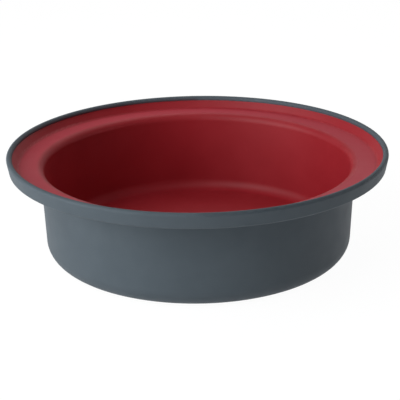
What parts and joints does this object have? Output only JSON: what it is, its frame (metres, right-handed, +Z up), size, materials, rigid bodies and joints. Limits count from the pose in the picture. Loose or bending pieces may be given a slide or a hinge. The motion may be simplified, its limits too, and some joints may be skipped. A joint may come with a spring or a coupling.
{
  "type": "pet bathtub",
  "caption": "Round shallow pet bathtub: dark shell, red soft liner, broad dished brim as hand-hold, non-slip feet and a lift-out drain plug with a pull ring.",
  "frame": {"origin": "centre of the tub, in the plane that the foot pads stand on", "axes": "+Z up along the tub's axis; -Y towards the viewer of the picture; the tub is round about +Z"},
  "size_m": [0.5, 0.5, 0.143],
  "materials": {
    "shell_silicone": "satin matte, dark blue-grey",
    "liner_silicone": "satin matte, deep red",
    "hoop_steel": "drawn wire",
    "plate_plastic": "natural, matte",
    "drain_plastic": "fine moulded texture",
    "plug_plastic": "fine moulded texture",
    "seal_rubber": "matte black",
    "pad_rubber": "matte, near black",
    "strainer_steel": "brushed sheet",
    "ring_steel": "polished wire"
  },
  "bodies": {
    "tub": {"outer_shell": "shell_silicone", "inner_liner": "liner_silicone", "rim_hoop": "hoop_steel", "base_plate": "plate_plastic", "foot_pad_back_right": "pad_rubber", "foot_pad_back_left": "pad_rubber", "foot_pad_front_left": "pad_rubber", "foot_pad_front_right": "pad_rubber", "drain_body": "drain_plastic", "drain_gasket": "seal_rubber", "drain_washer": "seal_rubber", "drain_lock_ring": "drain_plastic", "hair_strainer": "strainer_steel"},
    "plug": {"drain_plug": "plug_plastic", "plug_seal": "seal_rubber"},
    "ring": {"pull_ring": "ring_steel"}
  },
  "joints": [
    {"name": "plug_lift", "type": "slide", "parent": "tub", "child": "plug", "axis": [0, 0, 1], "range_m": [0, 0.16]},
    {"name": "ring_fold", "type": "hinge", "parent": "plug", "child": "ring", "pos_m": [0, 0, 0.01705], "axis": [1, 0, 0], "range_deg": [0, 180]}
  ]
}
